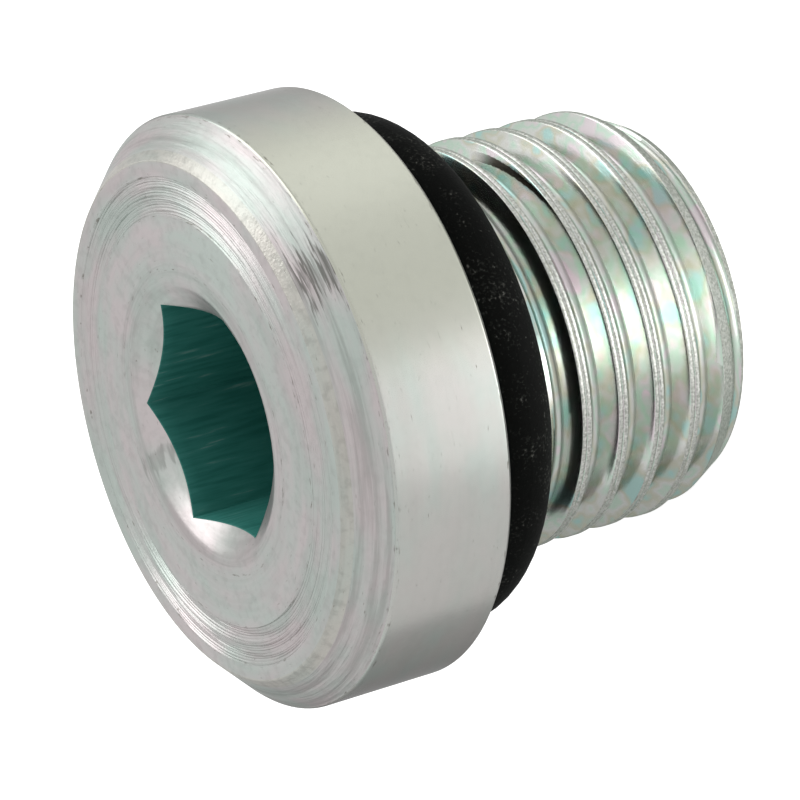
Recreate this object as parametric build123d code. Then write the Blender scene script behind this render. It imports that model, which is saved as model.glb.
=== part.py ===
"""Hex socket plug: a turned steel screw plug with a rubber seal, for closing a threaded port.

Two separate pieces. plug_body is turned from round bar, threaded, and broached with a hexagon socket.
o_ring is the seal, stretched over the thread and onto the neck below the head.

The plug stands on its thread end. Origin: the centre of that end face. +Z runs along the axis to the head.
All lengths are in millimetres and all angles in degrees.
"""

from build123d import *
from math import ceil, cos, radians, sin, tan
import os

# ---- head: a disc with a wide front bevel ----
head_diameter = 14.0
head_height = 3.9  # from the sealing face to the front face
head_bevel = 0.9  # 45 degree bevel round the front face
back_edge_bevel = 0.1  # the sealing face's outer edge, just broken

# ---- front face: two shallow turned hollows with a fine ridge between them, inside a flat rim ----
face_rim_width = 0.36
outer_hollow_width = 0.49
inner_hollow_width = 0.42
hollow_depth = 0.06
ridge_drop = 0.015  # how far the ridge's tip lies below the face

# ---- hexagon socket, for a 5 mm key ----
socket_across_flats = 5.08
socket_depth = 5.0
countersink_diameter = 6.46
countersink_angle = 120.0
countersink_lip_radius = 0.37  # where the countersink rolls over into the face
pilot_diameter = 4.9  # the drilled hole that the broach follows
pilot_extra_depth = 0.5  # how far the pilot hole goes below the hexagon's floor
drill_point_angle = 118.0

# ---- thread: M10 x 1, right-hand ----
thread_diameter = 9.8  # over the crests
thread_pitch = 1.0
thread_angle = 60.0
crest_width = 0.24
root_width = 0.17
thread_start_angle = -25.2  # the direction, from +X, in which a crest's centre line leaves the end face
shank_length = 8.1  # from the thread end to the sealing face
end_chamfer = 0.51  # measured inwards from the crests
end_chamfer_angle = 27.0  # from the axis

# ---- neck: the plain relief between thread and head, where the seal sits ----
neck_drop = 0.18  # below the thread's root
neck_corner = 0.2  # 45 degree corner where the neck meets the sealing face
runout_angle = 45.0  # of the cone from the neck up to the crests

# ---- seal ----
ring_section = 1.9
ring_head_gap = 0.12  # to the sealing face, as the ring lies before it's squeezed
ring_neck_gap = 0.05  # to the neck, all round
ring_side_room = 0.1  # how much longer the neck is than the ring's section

# ---- places worked out from the sizes above ----
head_radius = head_diameter / 2
bevel_radius = head_radius - head_bevel
front_z = shank_length + head_height

flank_slope = tan(radians(thread_angle / 2))  # half width gained per millimetre of height
crest_radius = thread_diameter / 2
thread_height = (thread_pitch - crest_width - root_width) / 2 / flank_slope
root_radius = crest_radius - thread_height

neck_radius = root_radius - neck_drop
neck_start_z = shank_length - ring_head_gap - ring_section - ring_side_room
thread_top_z = neck_start_z - (crest_radius - neck_radius) / tan(radians(runout_angle))
end_radius = crest_radius - end_chamfer
end_chamfer_z = end_chamfer / tan(radians(end_chamfer_angle))

hollow_outer_radius = bevel_radius - face_rim_width
ridge_radius = hollow_outer_radius - outer_hollow_width
hollow_inner_radius = ridge_radius - inner_hollow_width

ring_centre_radius = neck_radius + ring_neck_gap + ring_section / 2
ring_z = shank_length - ring_head_gap - ring_section / 2


def turned_blank():
    """Everything that the lathe leaves: chamfered shank, neck, head, bevel and the hollows in the face."""
    hollow_floor_z = front_z - hollow_depth
    ridge_tip = (ridge_radius, front_z - ridge_drop)
    with BuildPart() as blank:
        with BuildSketch(Plane.XZ):
            with BuildLine():
                Polyline(
                    (0, 0),
                    (end_radius, 0),
                    (crest_radius, end_chamfer_z),
                    (crest_radius, thread_top_z),
                    (neck_radius, neck_start_z),
                    (neck_radius, shank_length - neck_corner),
                    (neck_radius + neck_corner, shank_length),
                    (head_radius - back_edge_bevel, shank_length),
                    (head_radius, shank_length + back_edge_bevel),
                    (head_radius, front_z - head_bevel),
                    (bevel_radius, front_z),
                    (hollow_outer_radius, front_z),
                )
                ThreePointArc(
                    (hollow_outer_radius, front_z),
                    (ridge_radius + outer_hollow_width / 2, hollow_floor_z),
                    ridge_tip,
                )
                Polyline(
                    ridge_tip,
                    (ridge_radius - hollow_depth, hollow_floor_z),
                    (hollow_inner_radius, front_z),
                    (0, front_z),
                    (0, 0),
                )
            make_face()
        revolve(axis=Axis.Z)
    return blank.part


def groove_turn():
    """One turn of the thread's groove: straight flanks and a flat root, cut a little past the crests."""
    top = thread_height + crest_width / 4
    top_half_width = root_width / 2 + top * flank_slope
    with BuildPart() as turn:
        with BuildLine() as path:
            Helix(thread_pitch, thread_pitch, root_radius)
        with BuildSketch(Plane(origin=path.line @ 0, x_dir=(1, 0, 0), z_dir=path.line % 0)):
            Polygon(
                (0, -root_width / 2),
                (top, -top_half_width),
                (top, top_half_width),
                (0, root_width / 2),
                align=None,
            )
        sweep(path=path.line, is_frenet=True)
    return Rot(0, 0, thread_start_angle + 180) * turn.part


def cut_thread(blank):
    """The groove is cut turn by turn, from a turn below the end face until it runs out over the neck."""
    turn = groove_turn()
    turns_needed = ceil(neck_start_z / thread_pitch) + 2
    threaded = blank
    for count in range(turns_needed):
        threaded -= Pos(0, 0, (count - 1) * thread_pitch) * turn
    return threaded


def socket_cut():
    """The broached hexagon, its pilot hole with the drill's point, and the rolled countersink at its mouth."""
    pilot_radius = pilot_diameter / 2
    floor_z = front_z - socket_depth
    pilot_floor_z = floor_z - pilot_extra_depth
    drill_tip_z = pilot_floor_z - pilot_radius / tan(radians(drill_point_angle / 2))
    cone_radius = countersink_diameter / 2
    cone_fall = radians(90 - countersink_angle / 2)  # the cone's slope below the face
    cone_tip_z = front_z - cone_radius * tan(cone_fall)
    lip = countersink_lip_radius * tan(cone_fall / 2)
    lip_start = (cone_radius - lip * cos(cone_fall), front_z - lip * sin(cone_fall))
    lip_end = (cone_radius + lip, front_z)
    with BuildPart() as cut:
        with BuildSketch(Plane.XY.offset(floor_z)):
            RegularPolygon(socket_across_flats / 2, 6, major_radius=False)
        extrude(amount=socket_depth)
        with BuildSketch(Plane.XZ):
            Polygon(
                (0, drill_tip_z),
                (pilot_radius, pilot_floor_z),
                (pilot_radius, floor_z),
                (0, floor_z),
                align=None,
            )
        revolve(axis=Axis.Z)
        with BuildSketch(Plane.XZ):
            with BuildLine():
                Line((0, cone_tip_z), lip_start)
                RadiusArc(lip_start, lip_end, countersink_lip_radius)
                Polyline(lip_end, (0, front_z), (0, cone_tip_z))
            make_face()
        revolve(axis=Axis.Z)
    return cut.part


def make_plug_body():
    return cut_thread(turned_blank()) - socket_cut()


def make_o_ring():
    return Pos(0, 0, ring_z) * Torus(ring_centre_radius, ring_section / 2)


if __name__ == "__main__":
    os.makedirs("parts", exist_ok=True)
    pieces = {"plug_body": make_plug_body(), "o_ring": make_o_ring()}
    for name, piece in pieces.items():
        export_step(piece, f"parts/{name}.step")
        print(f"{name}: volume {piece.volume:.2f} mm3, height {piece.bounding_box().size.Z:.3f} mm")
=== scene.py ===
# %% [markdown]
# # A hex socket plug: from solid model to picture
# The plug closes a threaded oil port. It is two real pieces: a body, turned from steel bar and then
# threaded, broached and zinc plated, and a black rubber ring round its neck.
# The solid model holds both at their true size, and it stands on its thread end with its axis along Z.
# Here it gets its finishes, its floor and its light. Every length below is written in millimetres.

# %% Load the solid model
import math

import bmesh
import bpy
import numpy as np
from mathutils import Matrix, Vector


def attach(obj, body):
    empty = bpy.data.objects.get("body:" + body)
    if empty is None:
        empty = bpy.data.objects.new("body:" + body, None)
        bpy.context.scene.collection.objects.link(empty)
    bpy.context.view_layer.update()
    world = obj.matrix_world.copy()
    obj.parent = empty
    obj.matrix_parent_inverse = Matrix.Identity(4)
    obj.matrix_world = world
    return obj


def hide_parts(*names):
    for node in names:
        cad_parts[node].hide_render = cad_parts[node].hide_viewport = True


MM = 0.001

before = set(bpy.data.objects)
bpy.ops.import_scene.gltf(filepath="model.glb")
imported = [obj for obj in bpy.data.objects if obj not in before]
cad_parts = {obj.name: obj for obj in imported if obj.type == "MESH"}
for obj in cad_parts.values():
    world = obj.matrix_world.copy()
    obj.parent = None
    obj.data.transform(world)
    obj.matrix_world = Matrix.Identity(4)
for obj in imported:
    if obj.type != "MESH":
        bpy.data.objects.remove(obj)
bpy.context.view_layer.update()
print("solid pieces:", sorted(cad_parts))

# %% [markdown]
# ## The body's mesh
# The solid model's own mesh is right in size, but its edges are perfectly sharp and its thread root is flat.
# On the real plug a fine rounding on each edge catches the light as a thin line, and the rolled thread
# has a round root and a faint seam along its crest. Both are too fine for the solid, so the body is
# meshed again.
# A turned part could be made with the Screw modifier, but the thread and the hexagon aren't round.
# So the whole body is one grid: columns go round the axis, and each ring has its own radius and height
# at every column. A ring may then be a circle, a turn of the thread or a hexagon, all in one closed skin.

# %% Columns round the axis, and the list of rings
columns = 240
angle = np.linspace(0, 2 * np.pi, columns + 1)
rings = []


def add_ring(radius, height, finish):
    """One closed line round the axis. The strip of skin that ends at it gets the finish."""
    radius = np.broadcast_to(np.asarray(radius, float), angle.shape)
    height = np.broadcast_to(np.asarray(height, float), angle.shape)
    rings.append((radius, height, finish))


def add_path(points, finish):
    for radius, height in points:
        add_ring(radius, height, finish)


print(columns, "columns, each", round(360 / columns, 2), "degrees wide")

# %% [markdown]
# ## Roundings
# A corner in a profile is replaced by a short arc. The points at both ends of the arc are doubled by a close
# neighbour on the straight part, which keeps the flat faces flat when the mesh is shaded smooth.

# %% Round one corner of a profile
support_share = 0.6


def round_corner(before, corner, after, radius, steps=4):
    """Points along an arc that replaces the corner, with a support point on each straight side."""
    before, corner, after = (Vector(point) for point in (before, corner, after))
    back, ahead = (before - corner).normalized(), (after - corner).normalized()
    half = back.angle(ahead) / 2
    reach = radius / math.tan(half)
    centre = corner + (back + ahead).normalized() * (radius / math.sin(half))
    start, end = corner + back * reach, corner + ahead * reach
    points = [start + back * reach * support_share]
    for step in range(steps + 1):
        share = step / steps
        spoke = (start - centre).normalized().slerp((end - centre).normalized(), share)
        points.append(centre + spoke * radius)
    points.append(end + ahead * reach * support_share)
    return [tuple(point) for point in points]


for point in round_corner((0, 0), (1, 0), (1, 1), 0.1, steps=2):
    print("a point of a 0.1 mm rounding:", [round(part, 3) for part in point])

# %% [markdown]
# ## The thread
# M10 x 1: one crest per millimetre, flanks at 60 degrees. This thread is rolled, so each crest keeps a faint
# seam where the metal of the two flanks met, and the root is round.
# The profile is drawn once, over one pitch. A ring that follows the thread rises by one pitch in one turn,
# so each point of the profile gives one ring per turn, and every edge of the thread is a clean line.

# %% Thread sizes and the profile over one pitch
pitch = 1.0
crest_radius = 4.9
half_crest = 0.12
flank_slope = math.tan(math.radians(30))
root_rounding = 0.14
root_centre_drop = 0.378
seam_depth = 0.03
crest_start_angle = math.radians(-25.2)

half_profile = [
    (0.0, seam_depth),
    (0.014, seam_depth * 0.8),
    (0.032, seam_depth * 0.15),
    (0.05, 0.0),
    (0.09, 0.001),
    (0.112, 0.006),
    (0.128, 0.019),
    (0.138, 0.033),
]
for drop in (0.045, 0.08, 0.30, 0.43):
    half_profile.append((half_crest + drop * flank_slope, drop))
for tilt in (60, 45, 30, 15, 0):
    turn = math.radians(tilt)
    share = 0.5 - root_rounding * math.sin(turn)
    half_profile.append((share, root_centre_drop + root_rounding * math.cos(turn)))
profile = half_profile + [(1 - share, drop) for share, drop in reversed(half_profile[1:-1])]
profile_share = np.array([share for share, drop in profile] + [1.0])
profile_drop = np.array([drop for share, drop in profile] + [seam_depth])
print(len(profile), "rings per turn; root radius", round(crest_radius - profile_drop.max(), 3), "mm")

# %% [markdown]
# The thread doesn't run over the whole shank. At the end it fades into a chamfer, and towards the head
# it runs out on a cone down to the neck. So at each height the radius is the smaller of the thread's own and
# the turned blank's. A true minimum would leave a ragged line where the two meet, and a real one is
# brushed soft, so they are blended over a few hundredths of a millimetre.
# The turns are counted from two below the end face. Rings that would lie beyond the end or the neck are held
# there, where they fold flat, and so the skin stays closed at the line where the columns meet.

# %% Thread rings between the end chamfer and the neck
end_radius = 4.39
end_chamfer_slope = math.tan(math.radians(27))
neck_radius = 4.209
neck_start = 5.98
blend = 0.02
crest_limit = 0.03
root_limit = 0.44


def blank_radius(height):
    """The turned blank before threading: end chamfer, then the cone down to the neck."""
    chamfer = end_radius + height * end_chamfer_slope
    cone = neck_radius + (neck_start - height)
    return np.minimum(chamfer, cone)


def soft_minimum(first, second):
    gap = np.clip(0.5 + 0.5 * (second - first) / blend, 0, 1)
    return second * (1 - gap) + first * gap - blend * gap * (1 - gap)


def thread_radius(height):
    share = np.mod(height / pitch - (angle - crest_start_angle) / (2 * np.pi), 1.0)
    own = crest_radius - np.interp(share, profile_share, profile_drop)
    return soft_minimum(own, blank_radius(height))


first_turn = -2
last_turn = math.ceil(neck_start / pitch) + 2
add_ring(0.0, 0.0, "end_face")
for radius in (2.2, 4.0, 4.3):
    add_ring(radius, 0.0, "end_face")
for turn in range(first_turn, last_turn):
    for share, drop in profile:
        height = (turn + share) * pitch + (angle - crest_start_angle) / (2 * np.pi) * pitch
        height = np.clip(height, 0, neck_start)
        if drop < crest_limit:
            finish = "thread_crest"
        elif drop > root_limit:
            finish = "thread_root"
        else:
            finish = "thread_flank"
        add_ring(thread_radius(height), height, finish)
print("rings so far:", len(rings))

# %% [markdown]
# ## Neck, head and bevel
# These are plain turned forms. The corners between them are broken by a few hundredths of a millimetre,
# as a tool leaves them, and the bevel carries one deeper tool line at its middle.

# %% Neck, sealing face, head side and bevel
sealing_face = 8.1
front = 12.0
head_radius = 7.0
bevel = 0.9
bevel_foot = (head_radius, front - bevel)
bevel_top = (head_radius - bevel, front)
burr_inner = 5.9
back_inner = (head_radius - 0.1, sealing_face)
back_outer = (head_radius, sealing_face + 0.1)

add_path([(neck_radius, neck_start), (neck_radius, 6.4), (neck_radius, 7.6), (neck_radius, 7.9)], "neck")
add_path([(4.25, 8.0), (4.409, sealing_face), (5.2, sealing_face), (6.4, sealing_face)], "head_back")
add_path(round_corner((6.4, sealing_face), back_inner, back_outer, 0.05), "head_back")
add_path(round_corner(back_inner, back_outer, bevel_foot, 0.05), "head_side")
add_path([(head_radius, 9.0), (head_radius, 10.2)], "head_side")
add_path(round_corner(back_outer, bevel_foot, bevel_top, 0.08), "head_side")
add_path([(6.75, 11.35), (6.56, 11.54), (6.545, 11.548), (6.53, 11.57), (6.3, 11.8)], "bevel")
add_path(round_corner(bevel_foot, bevel_top, (burr_inner, front), 0.055), "burr")
print("rings so far:", len(rings))

# %% [markdown]
# ## The front face
# The facing tool has left two shallow hollows with a fine ridge between them, inside a flat rim. They are
# only hundredths of a millimetre deep, but they are wide, so they show as rings of light.

# %% Rim, two hollows and the flat middle
hollow_depth = 0.05
rim_inner = 5.74
ridge = 5.25
hollow_inner = 4.83
groove_pitch = 0.062
groove_depth = 0.021


def hollow_height(radius, outer, inner):
    """A shallow dish between two radii."""
    share = (outer - radius) / (outer - inner)
    return front - hollow_depth * (1 - (2 * share - 1) ** 2)


def add_grooved_hollow(outer, inner, finish):
    """The tool's grooves in a hollow: a small V per turn of feed, deeper in one place than in another."""
    grooves = round((outer - inner) / groove_pitch)
    pitch_here = (outer - inner) / grooves
    for groove in range(grooves):
        swing = np.sin(angle * (2 + groove % 3) + groove * 2.1) * np.sin(angle * 7 + groove * 1.3)
        wander = 0.007 * np.sin(angle * 5 + groove * 1.7)
        for share, depth in ((0.08, 0.0), (0.5, 1.0), (0.92, 0.0)):
            radius = outer - (groove + share) * pitch_here + wander * depth
            height = hollow_height(outer - (groove + share) * pitch_here, outer, inner)
            add_ring(radius, height - depth * groove_depth * (0.85 + 0.3 * swing), finish)


add_path([(burr_inner, front), (rim_inner + 0.03, front)], "face")
add_grooved_hollow(rim_inner, ridge, "face_hollow")
add_path([(ridge, front - 0.012), (ridge - 0.012, front - 0.014)], "face_hollow")
add_grooved_hollow(ridge - 0.03, hollow_inner, "face_hollow")
add_path([(hollow_inner, front - 0.003), (hollow_inner - 0.05, front), (4.4, front), (3.7, front)], "face")
print("rings so far:", len(rings))

# %% [markdown]
# ## The hexagon socket
# A drill makes the pilot hole, a countersink opens its mouth, and a broach then cuts the hexagon. Where the
# flat walls meet the cone they leave six curved edges, lowest at the middle of each wall and highest at
# the corners. Each ring of the socket takes its radius from the hexagon, and the ones at the mouth take
# their height from the cone, so the curves come by themselves.

# %% Countersink, hexagon, pilot hole
across_flats = 5.08
cone_radius = 3.23
cone_slope = math.tan(math.radians(30))
lip_rounding = 0.37
hexagon_floor = 7.0
pilot_radius = 2.45
pilot_floor = 6.5
drill_slope = 1 / math.tan(math.radians(59))

corner_turn = np.mod(angle, np.pi / 3) - np.pi / 6
hexagon = across_flats / 2 / np.cos(corner_turn)


def cone_height(radius):
    return front - (cone_radius - radius) * cone_slope


inner_cone_point = (cone_radius - 0.5, cone_height(cone_radius - 0.5))
lip = round_corner((4.0, front), (cone_radius, front), inner_cone_point, lip_rounding, steps=6)
add_path(lip, "countersink")
wall_top = hexagon + 0.02
add_ring(hexagon + 0.09, cone_height(hexagon + 0.09), "countersink")
add_ring(wall_top, cone_height(wall_top), "countersink")
add_ring(hexagon + 0.006, cone_height(hexagon) - 0.006, "socket")
add_ring(hexagon, cone_height(hexagon) - 0.02, "socket")
for height in (11.3, 10.3, 9.2, 8.1, 7.05, hexagon_floor):
    add_ring(hexagon, height, "socket")
add_path([(pilot_radius, hexagon_floor), (pilot_radius, pilot_floor)], "socket")
for radius in (2.0, 1.2, 0.5, 0.0):
    add_ring(radius, pilot_floor - (pilot_radius - radius) * drill_slope, "socket")
print("rings in all:", len(rings))

# %% [markdown]
# ## From rings to a mesh
# The points of neighbouring rings are joined by four-sided faces. The first and last column lie on the same
# line, and the ends of the thread fold onto one another, so points that meet are merged and faces
# with no area go. Edges sharper than 35 degrees stay sharp, and the rest is shaded smooth.

# %% Build the body
finishes = ["end_face", "thread_crest", "thread_flank", "thread_root", "neck", "head_back"]
finishes += ["head_side", "bevel", "burr", "face", "face_hollow", "countersink", "socket"]
merge_distance = 0.0004
sharp_angle = math.radians(35)


def build_body():
    across, up = np.array([r for r, h, f in rings]), np.array([h for r, h, f in rings])
    places = np.stack([across * np.cos(angle), across * np.sin(angle), up], axis=-1) * MM
    width = columns + 1
    faces, finish_numbers = [], []
    for row in range(1, len(rings)):
        low, high = (row - 1) * width, row * width
        for column in range(columns):
            faces.append((low + column, low + column + 1, high + column + 1, high + column))
            finish_numbers.append(finishes.index(rings[row][2]))
    mesh = bpy.data.meshes.new("plug_body_skin")
    mesh.from_pydata(places.reshape(-1, 3).tolist(), [], faces)
    mesh.polygons.foreach_set("material_index", finish_numbers)
    work = bmesh.new()
    work.from_mesh(mesh)
    bmesh.ops.remove_doubles(work, verts=work.verts, dist=merge_distance * MM)
    bmesh.ops.dissolve_degenerate(work, dist=merge_distance * MM, edges=work.edges)
    bmesh.ops.recalc_face_normals(work, faces=work.faces)
    work.to_mesh(mesh)
    open_edges = sum(1 for edge in work.edges if not edge.is_manifold)
    work.free()
    mesh.shade_smooth()
    mesh.set_sharp_from_angle(angle=sharp_angle)
    body = bpy.data.objects.new("plug_body_skin", mesh)
    bpy.context.scene.collection.objects.link(body)
    return body, open_edges


body, open_edges = build_body()
print(len(body.data.polygons), "faces,", open_edges, "open edges")

# %% Put it in the frame
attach(body, "root")
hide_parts("plug_body")

# %% [markdown]
# ## A short notation for materials
# Each finish is a small tree of nodes: it asks where a point lies on the part, puts that into a noise,
# and uses the noise for colour and relief. The classes below name the few kinds of node that this takes.
# Places come from the object's own coordinates, in millimetres, so the marks stay with the part.

# %% Tree: sums and steps in any node tree


class Tree:
    """A node tree under construction. Its methods add one node each and return the node's output."""

    def __init__(self, tree):
        self.nodes, self.links = tree.nodes, tree.links

    def fill(self, node, values):
        """Link each value that is an output, and write each one that is a number."""
        for place, value in enumerate(values):
            if isinstance(value, (int, float)):
                node.inputs[place].default_value = value
            else:
                self.links.new(value, node.inputs[place])

    def math(self, operation, *values):
        node = self.nodes.new("ShaderNodeMath")
        node.operation = operation
        self.fill(node, values)
        return node.outputs[0]

    def between(self, value, low, high):
        """0 below low, 1 above high, and a smooth rise between them."""
        node = self.nodes.new("ShaderNodeMapRange")
        node.interpolation_type = "SMOOTHSTEP"
        self.fill(node, (value, low, high))
        return node.outputs[0]


# %% Finish: a material and its nodes


class Finish(Tree):
    """A material under construction, made for places given in millimetres."""

    def __init__(self, name, roughness, metal=1.0):
        self.material = bpy.data.materials.new(name)
        self.material.use_nodes = True
        super().__init__(self.material.node_tree)
        self.shader = self.nodes["Principled BSDF"]
        self.shader.inputs["Metallic"].default_value = metal
        self.shader.inputs["Roughness"].default_value = roughness
        where = self.nodes.new("ShaderNodeTexCoord")
        scale = self.nodes.new("ShaderNodeVectorMath")
        scale.operation = "SCALE"
        scale.inputs["Scale"].default_value = 1 / MM
        self.links.new(where.outputs["Object"], scale.inputs[0])
        split = self.nodes.new("ShaderNodeSeparateXYZ")
        self.links.new(scale.outputs[0], split.inputs[0])
        self.x, self.y, self.height = split.outputs
        flat = self.math("ADD", self.math("POWER", self.x, 2.0), self.math("POWER", self.y, 2.0))
        self.radius = self.math("SQRT", flat)
        self.turn = self.math("ARCTAN2", self.y, self.x)

    def noise(self, x, y, z, detail=2.0):
        """Noise at a point made of three outputs or numbers. It lies mostly between 0.3 and 0.7."""
        join = self.nodes.new("ShaderNodeCombineXYZ")
        self.fill(join, (x, y, z))
        noise = self.nodes.new("ShaderNodeTexNoise")
        noise.inputs["Scale"].default_value = 1.0
        noise.inputs["Detail"].default_value = detail
        self.links.new(join.outputs[0], noise.inputs["Vector"])
        return noise.outputs["Fac"]

    def fine_noise(self, size, detail=2.0):
        """Noise of one size, in mm, in every direction."""
        x, y, z = (self.math("DIVIDE", part, size) for part in (self.x, self.y, self.height))
        return self.noise(x, y, z, detail)

    def stretched_noise(self, around, across, detail=2.0, shift=0.0):
        """Noise with `around` features per mm round the part, and the output `across` at its own scale."""
        x = self.math("MULTIPLY_ADD", self.x, around, shift)
        y = self.math("MULTIPLY", self.y, around)
        return self.noise(x, y, across, detail)

    def close_to(self, value, middle, reach):
        """1 at the middle, falling smoothly to 0 at the reach on both sides of it."""
        distance = self.math("ABSOLUTE", self.math("SUBTRACT", value, middle))
        return self.math("SUBTRACT", 1.0, self.between(distance, reach * 0.4, reach))

    def ramp(self, value, stops):
        """Colours laid along a value: stops are pairs of a place and a colour."""
        node = self.nodes.new("ShaderNodeValToRGB")
        elements = node.color_ramp.elements
        while len(elements) < len(stops):
            elements.new(0.5)
        for element, (place, colour) in zip(elements, stops):
            element.position = place
            element.color = (*colour, 1)
        self.links.new(value, node.inputs[0])
        return node.outputs[0]

    def mix_colours(self, share, first, second):
        """From the first colour to the second. Either may be an output or three numbers."""
        node = self.nodes.new("ShaderNodeMix")
        node.data_type = "RGBA"
        self.links.new(share, node.inputs["Factor"])
        for socket, colour in ((node.inputs[6], first), (node.inputs[7], second)):
            if isinstance(colour, tuple):
                socket.default_value = (*colour, 1)
            else:
                self.links.new(colour, socket)
        return node.outputs[2]

    def colour(self, output):
        self.links.new(output, self.shader.inputs["Base Color"])

    def relief(self, height):
        """Bump from a height in millimetres."""
        bump = self.nodes.new("ShaderNodeBump")
        bump.inputs["Distance"].default_value = MM
        self.links.new(height, bump.inputs["Height"])
        self.links.new(bump.outputs["Normal"], self.shader.inputs["Normal"])

    def brushed_round(self, strength):
        """Reflections spread across marks that run round the axis."""
        tangent = self.nodes.new("ShaderNodeTangent")
        tangent.direction_type = "RADIAL"
        tangent.axis = "Z"
        self.links.new(tangent.outputs[0], self.shader.inputs["Tangent"])
        self.shader.inputs["Anisotropic"].default_value = strength
        self.shader.inputs["Anisotropic Rotation"].default_value = 0.25


print("Finish is ready")

# %% [markdown]
# ## Zinc plate
# Bright zinc plating is a thin metal layer over the turned steel, and the clear passivation on it is
# thinner still. It tints the reflections faintly pink in one place and green in another, as its thickness
# wanders. A thin-film shader could work this out, but the tint would then change with every lamp. A slow
# noise between a few pale colours gives the same soft patches, and they stay put.
# The turning marks are noise too: fine across the marks and long along them. They break off here and there,
# and close to an edge the tool has torn the steel, which leaves dark flecks. On the bevel a short dark band
# of streaks across the marks is a painted reflection of something dark, and the countersink has a band of
# darker streaks too. One side of the head is a touch yellower.

# %% A turned and plated finish
grazing_tint = (0.45, 0.5, 0.46, 1)
pink_zinc = (0.49, 0.45, 0.45)
grey_zinc = (0.45, 0.455, 0.44)
green_zinc = (0.42, 0.465, 0.435)
yellow_zinc = (0.45, 0.46, 0.395)
mark_shadow = (0.10, 0.10, 0.09)
fleck_colour = (0.14, 0.13, 0.11)
torn_reach = 0.09
dark_band_raggedness = 0.45
dark_band_reach = math.radians(6)


def turned(
    name,
    tints,
    roughness,
    anisotropy,
    mark_pitch,
    mark_depth,
    torn_edges=(),
    on_side=False,
    grain_depth=0.0015,
    shadow=0.15,
    mottle=0.1,
    edge_tint=0.5,
    dark_band=None,
    yellow_side=None,
):
    """A finish with turning marks. Lengths are in mm.

    on_side: the marks are stacked up the axis, as on the head's side, and not across a face.
    torn_edges: distances from the axis, or heights if on_side, where the tool has torn the steel.
    dark_band: an angle in degrees and a strength, for a short band of dark streaks across the marks.
    On the bevel the band is a painted reflection of something dark. yellow_side: the angle where it is
    yellowest.
    """
    finish = Finish(name, roughness)
    finish.shader.inputs["Specular Tint"].default_value = (edge_tint, edge_tint, edge_tint, 1)
    finish.brushed_round(anisotropy)
    across = finish.height if on_side else finish.math("SUBTRACT", finish.radius, finish.height)
    film = finish.stretched_noise(0.45, finish.math("MULTIPLY", across, 1.1), 3.0)
    colour = finish.ramp(film, [(0.36, tints[0]), (0.5, tints[1]), (0.64, tints[2])])
    long_marks = finish.stretched_noise(0.25, finish.math("DIVIDE", across, mark_pitch), 3.0)
    short_across = finish.math("DIVIDE", across, mark_pitch * 0.8)
    short_marks = finish.stretched_noise(1.3, short_across, 3.0, shift=11.0)
    broad_across = finish.math("DIVIDE", across, mark_pitch * 4)
    broad_marks = finish.stretched_noise(0.2, broad_across, 2.0, shift=7.0)
    marks = finish.math("MULTIPLY_ADD", long_marks, 0.5, finish.math("MULTIPLY", short_marks, 0.5))
    both_marks = finish.math("MULTIPLY_ADD", marks, 0.5, finish.math("MULTIPLY", broad_marks, 0.5))
    shade = finish.math("SUBTRACT", 1.0, finish.between(both_marks, 0.38, 0.58))
    colour = finish.mix_colours(finish.math("MULTIPLY", shade, shadow), colour, mark_shadow)
    # The colour turns a touch yellower round one angle of the head's side.
    if yellow_side is not None:
        turn_from_it = finish.math("SUBTRACT", finish.turn, math.radians(yellow_side))
        toward = finish.math("COSINE", turn_from_it)
        colour = finish.mix_colours(finish.between(toward, 0.80, 0.97), colour, yellow_zinc)
    clouds = finish.between(finish.fine_noise(0.22, 3.0), 0.45, 0.7)
    colour = finish.mix_colours(finish.math("MULTIPLY", clouds, mottle), colour, mark_shadow)
    flecks = finish.stretched_noise(4.0, finish.math("DIVIDE", across, 0.05), 3.0, shift=3.0)
    for edge in torn_edges:
        place = finish.height if on_side else finish.radius
        distance = finish.math("ABSOLUTE", finish.math("SUBTRACT", place, edge))
        nearness = finish.math("SUBTRACT", 1.0, finish.between(distance, 0.0, torn_reach))
        flecks = finish.math("MULTIPLY_ADD", nearness, 0.1, flecks)
    fleck_share = finish.math("MULTIPLY", finish.between(flecks, 0.67, 0.80), 0.75)
    colour = finish.mix_colours(fleck_share, colour, fleck_colour)
    # A short band of dark streaks across the marks. On the bevel it is a painted reflection of something
    # dark.
    if dark_band:
        dark_band_angle, strength = dark_band
        dark_band_middle = math.radians(dark_band_angle) + dark_band_raggedness / 2
        ragged_turn = finish.math("MULTIPLY_ADD", short_marks, dark_band_raggedness, finish.turn)
        near = finish.close_to(ragged_turn, dark_band_middle, dark_band_reach)
        streaks = finish.between(long_marks, 0.38, 0.6)
        streak_share = finish.math("MULTIPLY_ADD", streaks, 0.68 * strength, 0.14 * strength)
        dark_band_share = finish.math("MULTIPLY", streak_share, near)
        colour = finish.mix_colours(dark_band_share, colour, mark_shadow)
    finish.colour(colour)
    grain = finish.fine_noise(0.07)
    height = finish.math("MULTIPLY", marks, mark_depth)
    height = finish.math("MULTIPLY_ADD", broad_marks, mark_depth * 1.5, height)
    finish.relief(finish.math("MULTIPLY_ADD", grain, grain_depth, height))
    return finish


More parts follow.
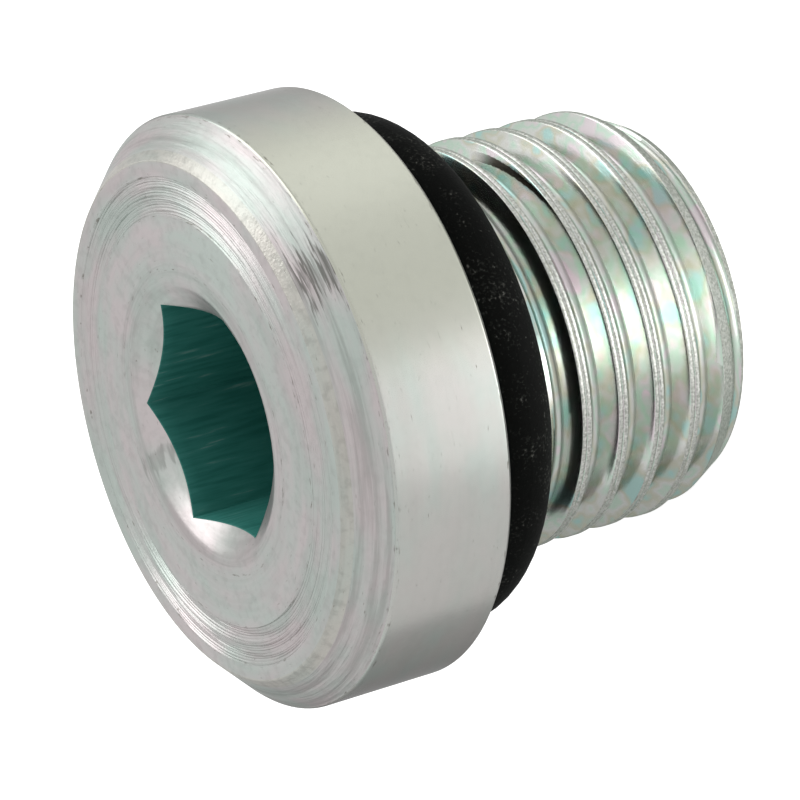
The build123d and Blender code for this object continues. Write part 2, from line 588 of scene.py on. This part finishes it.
plain = (pink_zinc, grey_zinc, green_zinc)
teal_plain = ((0.42, 0.5, 0.48), (0.43, 0.52, 0.5), (0.45, 0.53, 0.51))
burr_tints = ((0.47, 0.455, 0.42), (0.45, 0.45, 0.415), (0.43, 0.45, 0.415))
warm = ((0.46, 0.45, 0.43), (0.45, 0.455, 0.43), (0.43, 0.465, 0.435))
turned_finishes = [
    turned("end_face", plain, 0.35, 0.3, mark_pitch=0.12, mark_depth=0.004),
    turned("neck", teal_plain, 0.4, 0.3, mark_pitch=0.1, mark_depth=0.002, on_side=True),
    turned("head_back", plain, 0.35, 0.3, mark_pitch=0.12, mark_depth=0.004),
    turned(
        "head_side",
        warm,
        0.26,
        0.3,
        mark_pitch=0.15,
        mark_depth=0.0006,
        torn_edges=(8.2, 11.05),
        on_side=True,
        grain_depth=0.0008,
        shadow=0.05,
        mottle=0.03,
        yellow_side=-74,
    ),
    turned(
        "bevel",
        plain,
        0.44,
        0.25,
        mark_pitch=0.09,
        mark_depth=0.026,
        torn_edges=(6.95,),
        shadow=0.28,
        mottle=0.06,
        edge_tint=0.75,
        # painted reflection: this dark band stands for something dark mirrored in the bevel
        dark_band=(-83, 1.0),
    ),
    turned(
        "burr",
        burr_tints,
        0.42,
        0.3,
        mark_pitch=0.1,
        mark_depth=0.01,
        torn_edges=(6.02,),
        grain_depth=0.012,
        mottle=0.2,
        edge_tint=0.9,
    ),
    turned(
        "face",
        plain,
        0.33,
        0.5,
        mark_pitch=0.12,
        mark_depth=0.0025,
        torn_edges=(rim_inner, hollow_inner, 3.6),
        shadow=0.1,
        mottle=0.12,
        edge_tint=0.9,
    ),
    turned(
        "face_hollow",
        plain,
        0.37,
        0.2,
        mark_pitch=0.1,
        mark_depth=0.002,
        torn_edges=(rim_inner, hollow_inner),
        grain_depth=0.003,
        shadow=0.1,
        edge_tint=0.9,
    ),
    turned(
        "countersink",
        plain,
        0.32,
        0.2,
        mark_pitch=0.08,
        mark_depth=0.009,
        torn_edges=(3.6,),
        shadow=0.22,
        edge_tint=0.8,
        dark_band=(86, 0.45),
    ),
]
print("turned finishes:", ", ".join(finish.material.name for finish in turned_finishes))

# %% [markdown]
# ## Thread
# The rollers press the flanks smooth, so they mirror one another and the passivation shows its colours there
# more than anywhere else. The crests aren't touched by the rollers' flanks and stay grainy.
# The end chamfer was turned before the thread was rolled, so it has the crests' grain, and that takes over
# where the thread fades.
# One flank has a dark brown streak in its colour. It climbs across the flank within one turn of the thread.

# %% Thread flanks and crests
teal_film = (0.42, 0.61, 0.575)
olive_film = (0.55, 0.55, 0.46)
silver_film = (0.625, 0.63, 0.605)
green_film = (0.51, 0.635, 0.54)
rose_film = (0.66, 0.60, 0.62)
film_stops = [
    (0.35, teal_film),
    (0.43, olive_film),
    (0.5, silver_film),
    (0.58, green_film),
    (0.64, rose_film),
]

crest_stops = [(0.35, (0.30, 0.31, 0.28)), (0.5, (0.44, 0.45, 0.42)), (0.65, (0.58, 0.58, 0.55))]
crest_grain_size = 0.06
crest_grain_depth = 0.011
crest_roughness = 0.34
flank_streak_colour = (0.06, 0.055, 0.045)
flank_streak_start, flank_streak_end = math.radians(-38), math.radians(-76)
flank_streak_radius, flank_streak_climb = 4.63, 0.36
flank_streak_height = 4.12
flank_streak_half_width, flank_streak_narrowing = 0.1, -0.12
flank_streak_raggedness = 0.06


def clear_of_chamfer(finish):
    """0 on the turned end chamfer, 1 on the rolled thread. The line between them is soft."""
    chamfer_radius = finish.math("MULTIPLY_ADD", finish.height, end_chamfer_slope, end_radius)
    return finish.between(finish.math("SUBTRACT", chamfer_radius, finish.radius), 0.004, 0.016)


def rolled(name, roughness, tone_and_painted_shade):
    """tone_and_painted_shade darkens the film's colours: a little on the flanks, more in the root as painted
    shade.
    """
    finish = Finish(name, roughness)
    finish.shader.inputs["Specular Tint"].default_value = grazing_tint
    film = finish.stretched_noise(0.8, finish.math("MULTIPLY", finish.height, 2.0), 2.5)
    stops = [(place, tuple(part * (1 - tone_and_painted_shade) for part in colour)) for place, colour in film_stops]
    colour = finish.ramp(film, stops)

    off_chamfer = clear_of_chamfer(finish)
    crest_grain = finish.fine_noise(crest_grain_size, 3.0)
    colour = finish.mix_colours(off_chamfer, finish.ramp(crest_grain, crest_stops), colour)
    rough = finish.math("MULTIPLY_ADD", off_chamfer, roughness - crest_roughness, crest_roughness)
    finish.links.new(rough, finish.shader.inputs["Roughness"])

    # The dark brown streak: from one angle on, it climbs outward across the flank, on one turn only.
    passed = finish.math("SUBTRACT", flank_streak_start, finish.turn)
    edge_noise = finish.fine_noise(0.09, 3.0)
    middle_radius = flank_streak_radius - flank_streak_raggedness / 2
    ragged = finish.math("MULTIPLY_ADD", edge_noise, flank_streak_raggedness, middle_radius)
    along = finish.math("MULTIPLY_ADD", passed, flank_streak_climb, ragged)
    half_width = finish.math("MULTIPLY_ADD", passed, flank_streak_narrowing, flank_streak_half_width)
    beside = finish.math("ABSOLUTE", finish.math("SUBTRACT", finish.radius, along))
    across = finish.math("LESS_THAN", beside, half_width)
    length = finish.close_to(finish.turn, (flank_streak_start + flank_streak_end) / 2, (flank_streak_start - flank_streak_end) / 1.6)
    on_one_turn = finish.close_to(finish.height, flank_streak_height, 0.3)
    on_flank_streak = finish.math("MULTIPLY", across, finish.math("MULTIPLY", length, on_one_turn))
    finish.colour(finish.mix_colours(on_flank_streak, colour, flank_streak_colour))

    roll_marks = finish.stretched_noise(0.4, finish.math("DIVIDE", finish.radius, 0.09), 3.0)
    grain_depth = finish.math("MULTIPLY_ADD", off_chamfer, 0.001 - crest_grain_depth, crest_grain_depth)
    grain = finish.math("MULTIPLY", crest_grain, grain_depth)
    finish.relief(finish.math("MULTIPLY_ADD", roll_marks, 0.002, grain))
    return finish


flank = rolled("thread_flank", 0.18, tone_and_painted_shade=0.03)
# Painted shade: the root is darkened, for the shade in the thread's groove.
root = rolled("thread_root", 0.35, tone_and_painted_shade=0.2)
crest = Finish("thread_crest", crest_roughness)
crest.shader.inputs["Specular Tint"].default_value = grazing_tint
crest_grain = crest.fine_noise(crest_grain_size, 3.0)
crest.colour(crest.ramp(crest_grain, crest_stops))
crest.relief(crest.math("MULTIPLY", crest_grain, crest_grain_depth))
print("thread film:", [place for place, colour in film_stops])

# %% [markdown]
# ## Socket
# Deep in the socket little light reaches, and what does has bounced several times off the passivated walls
# and taken their colour. That shade is painted: the walls are a dark blue-green, and not metal. The broach
# leaves scratches along its stroke, which is along the axis.

# %% Socket walls
socket_wall = Finish("socket", 0.5, metal=0.0)
socket_wall.shader.inputs["Specular IOR Level"].default_value = 0.2
scratches = socket_wall.noise(
    socket_wall.math("DIVIDE", socket_wall.x, 0.12),
    socket_wall.math("DIVIDE", socket_wall.y, 0.12),
    socket_wall.math("MULTIPLY", socket_wall.height, 0.8),
    3.0,
)
# Painted shade: dark blue-green for the deep socket, lighter where the scratches are.
socket_shade_stops = [
    (0.35, (0.022, 0.155, 0.13)),
    (0.5, (0.034, 0.195, 0.165)),
    (0.64, (0.045, 0.215, 0.185)),
    (0.76, (0.16, 0.31, 0.28)),
]
socket_wall.colour(socket_wall.ramp(scratches, socket_shade_stops))
socket_wall.relief(socket_wall.math("MULTIPLY", scratches, 0.006))

all_finishes = [*turned_finishes, flank, root, crest, socket_wall]
body_finishes = {finish.material.name: finish.material for finish in all_finishes}
for name in finishes:
    body.data.materials.append(body_finishes[name])
print("body finishes:", ", ".join(finishes))

# %% [markdown]
# ## Rubber ring
# The ring's solid has the right shape, so it keeps it. Nitrile rubber is a dull black, and it holds dust.

# %% Rubber
rubber = Finish("black_rubber", 0.7, metal=0.0)
rubber.shader.inputs["Specular IOR Level"].default_value = 0.03
specks = rubber.fine_noise(0.075, 3.0)
clusters = rubber.between(rubber.fine_noise(0.9), 0.38, 0.66)
dust = rubber.math("MULTIPLY_ADD", clusters, 0.14, specks)
rubber_stops = [(0.62, (0.004, 0.0045, 0.004)), (0.76, (0.016, 0.017, 0.015)), (0.86, (0.09, 0.09, 0.08))]
rubber.colour(rubber.ramp(dust, rubber_stops))
rubber.relief(rubber.math("MULTIPLY", specks, 0.01))
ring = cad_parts["o_ring"]
for material_slot in ring.material_slots:
    material_slot.material = rubber.material
print("the ring keeps", len(ring.material_slots), "slot, now of", rubber.material.name)

# %% [markdown]
# ## Camera
# The lens is long, so the part is drawn almost without perspective. The camera looks down on the front face
# from the side and is rolled, so that the plug seems to lie with its thread to the right.

# %% Camera


def direction(azimuth, height_angle):
    """A unit vector from two angles in degrees."""
    turn, rise = math.radians(azimuth), math.radians(height_angle)
    return Vector((math.cos(rise) * math.cos(turn), math.cos(rise) * math.sin(turn), math.sin(rise)))


camera_distance = 117.6 * MM
camera_roll = math.radians(-105.6)
aim_point = Vector((0.05, 3.10, 5.27)) * MM
away = direction(-104.41, 28.37)
lens = bpy.data.cameras.new("lens")
lens.lens = 220.89
lens.sensor_width = 36.0
lens.clip_start = 1 * MM
lens.clip_end = 10000 * MM
camera = bpy.data.objects.new("camera", lens)
bpy.context.scene.collection.objects.link(camera)
camera.location = aim_point + away * camera_distance
camera.rotation_mode = "QUATERNION"
level_view = (-away).to_track_quat("-Z", "Y")
camera.rotation_quaternion = level_view @ Matrix.Rotation(camera_roll, 4, "Z").to_quaternion()
bpy.context.scene.camera = camera
print("camera stands", [round(value / MM, 1) for value in camera.location], "mm from the origin")

# %% [markdown]
# ## Floor and studio
# Bright metal is a mirror: it shows the room more than its own colour. The room is plain and white, as a
# seamless paper sweep is, so the floor and the world give white both to the eye and to mirrored rays.

# %% Floor


class Studio(Tree):
    """Light values that depend on the kind of ray."""

    def __init__(self, tree):
        super().__init__(tree)
        self.path = self.nodes.new("ShaderNodeLightPath")
        self.seen = self.path.outputs["Is Camera Ray"]
        glossy, refracted = self.path.outputs["Is Glossy Ray"], self.path.outputs["Is Transmission Ray"]
        unseen = self.math("SUBTRACT", 1.0, self.seen)
        self.mirrored = self.math("MINIMUM", self.math("MAXIMUM", glossy, refracted), unseen)


mirrored_glow = 0.41
seen_glow = 0.7
floor_width = 2000

bpy.ops.mesh.primitive_plane_add(size=floor_width * MM)
floor = bpy.context.object
paper = bpy.data.materials.new("floor")
paper.use_nodes = True
paper_nodes = Studio(paper.node_tree)
paper_shader = paper_nodes.nodes["Principled BSDF"]
paper_shader.inputs["Base Color"].default_value = (0.8, 0.8, 0.8, 1)
paper_shader.inputs["Roughness"].default_value = 1
paper_shader.inputs["Specular IOR Level"].default_value = 0
paper_shader.inputs["Emission Color"].default_value = (1, 1, 1, 1)
seen_part = paper_nodes.math("MULTIPLY", paper_nodes.seen, seen_glow)
glow = paper_nodes.math("MULTIPLY_ADD", paper_nodes.mirrored, mirrored_glow, seen_part)
paper_nodes.links.new(glow, paper_shader.inputs["Emission Strength"])
floor.data.materials.append(paper)
print("floor glow:", seen_glow, "to the eye,", mirrored_glow, "in a mirror")

# %% World
diffuse_level = 0.65

world = bpy.data.worlds.new("studio")
bpy.context.scene.world = world
world.use_nodes = True
room = Studio(world.node_tree)
background = room.nodes["Background"]
background.inputs["Color"].default_value = (1, 1, 1, 1)
shown = room.math("ADD", room.mirrored, room.seen)
level = room.math("MULTIPLY_ADD", shown, 1.0 - diffuse_level, diffuse_level)
room.links.new(level, background.inputs["Strength"])
print("world:", diffuse_level, "for dull surfaces, 1 to the eye and in a mirror")

# %% [markdown]
# ## Grey card
# Bright metal in an all-white room looks flat, so a grey card is stood beside it for its mirrored rays
# to meet. It gives the far flanks of the thread their darker side. It neither hides the part nor shades it,
# but from behind the part its straight edges show as faint upright lines in the head's side.

# %% Grey card
card_width = 16
card_height = 13
card_azimuth = 138
card_distance = 13
card_glow = 0.6
card_place = direction(card_azimuth, 0) * card_distance
card_side = direction(card_azimuth + 90, 0) * (card_width / 2)
card_feet = [card_place - card_side, card_place + card_side]
card_heads = [foot + Vector((0, 0, card_height)) for foot in reversed(card_feet)]
card_mesh = bpy.data.meshes.new("grey_card")
card_mesh.from_pydata([tuple(corner * MM) for corner in card_feet + card_heads], [], [(0, 1, 2, 3)])
card = bpy.data.objects.new("grey_card", card_mesh)
bpy.context.scene.collection.objects.link(card)
card_paper = bpy.data.materials.new("grey_card")
card_paper.use_nodes = True
card_shader = card_paper.node_tree.nodes["Principled BSDF"]
card_shader.inputs["Base Color"].default_value = (0, 0, 0, 1)
card_shader.inputs["Specular IOR Level"].default_value = 0
card_shader.inputs["Emission Color"].default_value = (1, 1, 1, 1)
card_shader.inputs["Emission Strength"].default_value = card_glow
card_mesh.materials.append(card_paper)
card.visible_camera = False
card.visible_diffuse = False
card.visible_shadow = False
print("card:", card_width, "by", card_height, "mm")

# %% [markdown]
# ## Lamps
# A soft box stands off to one side and gives the light on the bevel. A small lamp stands much closer,
# over the front face, and lights the hollows and the countersink. Seen from the thread it is out of line,
# so it adds no white there.
# The lower side of the part mirrors only the floor, so three small lamps wash patches of the floor
# from above and show in the head's side and in the thread as soft bands.

# %% Soft boxes and floor washes


def soft_lamp(name, place, target, width, length, radiance, roll=0.0):
    """A lit rectangle at a place, in mm, that faces the target. The camera doesn't see it."""
    lamp = bpy.data.lights.new(name, "AREA")
    lamp.shape = "RECTANGLE"
    lamp.size = width * MM
    lamp.size_y = length * MM
    lamp.energy = radiance * math.pi * lamp.size * lamp.size_y
    holder = bpy.data.objects.new(name, lamp)
    bpy.context.scene.collection.objects.link(holder)
    holder.location = place * MM
    aim = (target - place).to_track_quat("-Z", "Y")
    holder.rotation_mode = "QUATERNION"
    holder.rotation_quaternion = aim @ Matrix.Rotation(math.radians(roll), 4, "Z").to_quaternion()
    holder.visible_camera = False
    return holder


def floor_wash(name, azimuth, reach, width, length, height, radiance):
    """A lamp that shines straight down. Its width runs round the part, and its length away from it."""
    place = direction(azimuth, 0) * reach + Vector((0, 0, height))
    return soft_lamp(name, place, place + direction(azimuth, -89.9), width, length, radiance)


middle = Vector((0, 0, 6))
soft_box_place = middle + direction(-4, 31) * 110
soft_lamp("soft box", soft_box_place, middle, width=66, length=92, radiance=1.9, roll=34)

face_middle = Vector((0, 0, front))
small_lamp_place = face_middle + direction(27, 45) * 45
soft_lamp("small lamp", small_lamp_place, face_middle, width=16, length=28, radiance=2.1, roll=30)

floor_wash("near wash", -113, reach=11.5, width=6, length=7, height=2.5, radiance=7)
floor_wash("far wash", -121, reach=22, width=16, length=13, height=1.2, radiance=0.76)
floor_wash("side wash", -32, reach=23, width=14, length=12, height=6, radiance=0.85)

# %% [markdown]
# ## View transform
# The picture uses the Standard view transform.

# %% Standard view transform
bpy.context.scene.view_settings.view_transform = "Standard"
